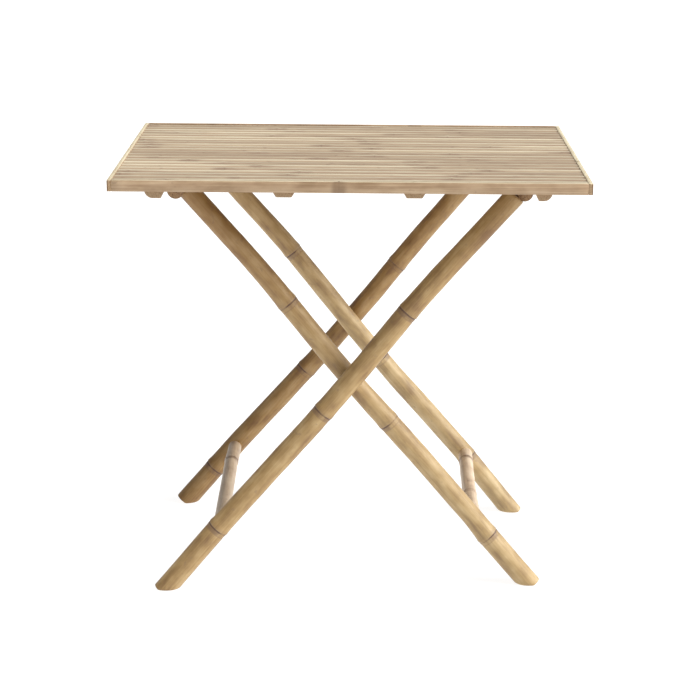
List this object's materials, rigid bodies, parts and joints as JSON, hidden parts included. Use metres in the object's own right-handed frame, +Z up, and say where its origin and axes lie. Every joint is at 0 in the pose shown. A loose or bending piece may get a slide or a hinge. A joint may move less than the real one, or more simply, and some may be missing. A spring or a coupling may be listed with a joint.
{
  "type": "folding tray table",
  "caption": "Bamboo folding table: slatted rectangular top that lifts off a scissor stand of crossed round bamboo legs.",
  "frame": {"origin": "on the floor, below the middle of the tabletop", "axes": "+Z up, +X along the slats towards the end that the outer legs lean to, -Y the front"},
  "size_m": [0.8, 0.6, 0.748],
  "materials": {
    "slat_bamboo": "split bamboo slats, planed and sanded, clear matt",
    "rail_bamboo": "sawn bamboo strip, sanded, clear matt",
    "culm_bamboo": "whole bamboo culm with its growth rings, clear satin",
    "bar_bamboo": "whole thin bamboo culm, browner, clear satin",
    "steel": "zinc-plated steel"
  },
  "bodies": {
    "outer_frame": {"outer_leg_front": "culm_bamboo", "outer_leg_back": "culm_bamboo", "outer_top_bar": "bar_bamboo", "outer_stretcher": "culm_bamboo", "outer_bar_screw_front": "steel", "outer_bar_screw_back": "steel", "pivot_pin_front": "steel", "pivot_pin_back": "steel", "pivot_spacer_front": "steel", "pivot_spacer_back": "steel"},
    "inner_frame": {"inner_leg_front": "culm_bamboo", "inner_leg_back": "culm_bamboo", "inner_top_bar": "bar_bamboo", "inner_stretcher": "culm_bamboo", "inner_bar_screw_front": "steel", "inner_bar_screw_back": "steel"},
    "tabletop": {"slat_01": "slat_bamboo", "slat_02": "slat_bamboo", "slat_03": "slat_bamboo", "slat_04": "slat_bamboo", "slat_05": "slat_bamboo", "slat_06": "slat_bamboo", "slat_07": "slat_bamboo", "slat_08": "slat_bamboo", "slat_09": "slat_bamboo", "slat_10": "slat_bamboo", "slat_11": "slat_bamboo", "slat_12": "slat_bamboo", "slat_13": "slat_bamboo", "slat_14": "slat_bamboo", "slat_15": "slat_bamboo", "slat_16": "slat_bamboo", "slat_17": "slat_bamboo", "slat_18": "slat_bamboo", "slat_19": "slat_bamboo", "slat_20": "slat_bamboo", "slat_21": "slat_bamboo", "slat_22": "slat_bamboo", "front_rail": "rail_bamboo", "back_rail": "rail_bamboo", "left_rail": "rail_bamboo", "right_rail": "rail_bamboo", "end_batten_left": "rail_bamboo", "middle_batten_left": "rail_bamboo", "middle_batten_right": "rail_bamboo", "end_batten_right": "rail_bamboo"}
  },
  "joints": [
    {"name": "leg_fold", "type": "hinge", "parent": "outer_frame", "child": "inner_frame", "pos_m": [0, 0, 0.386], "axis": [0, 1, 0], "range_deg": [0, 74]},
    {"name": "top_lift", "type": "slide", "parent": "outer_frame", "child": "tabletop", "axis": [0, 0, 1], "range_m": [0, 0.39]}
  ],
  "couplings": [
    {"joint": "top_lift", "follows": "leg_fold", "m_per_rad": 0.3}
  ]
}
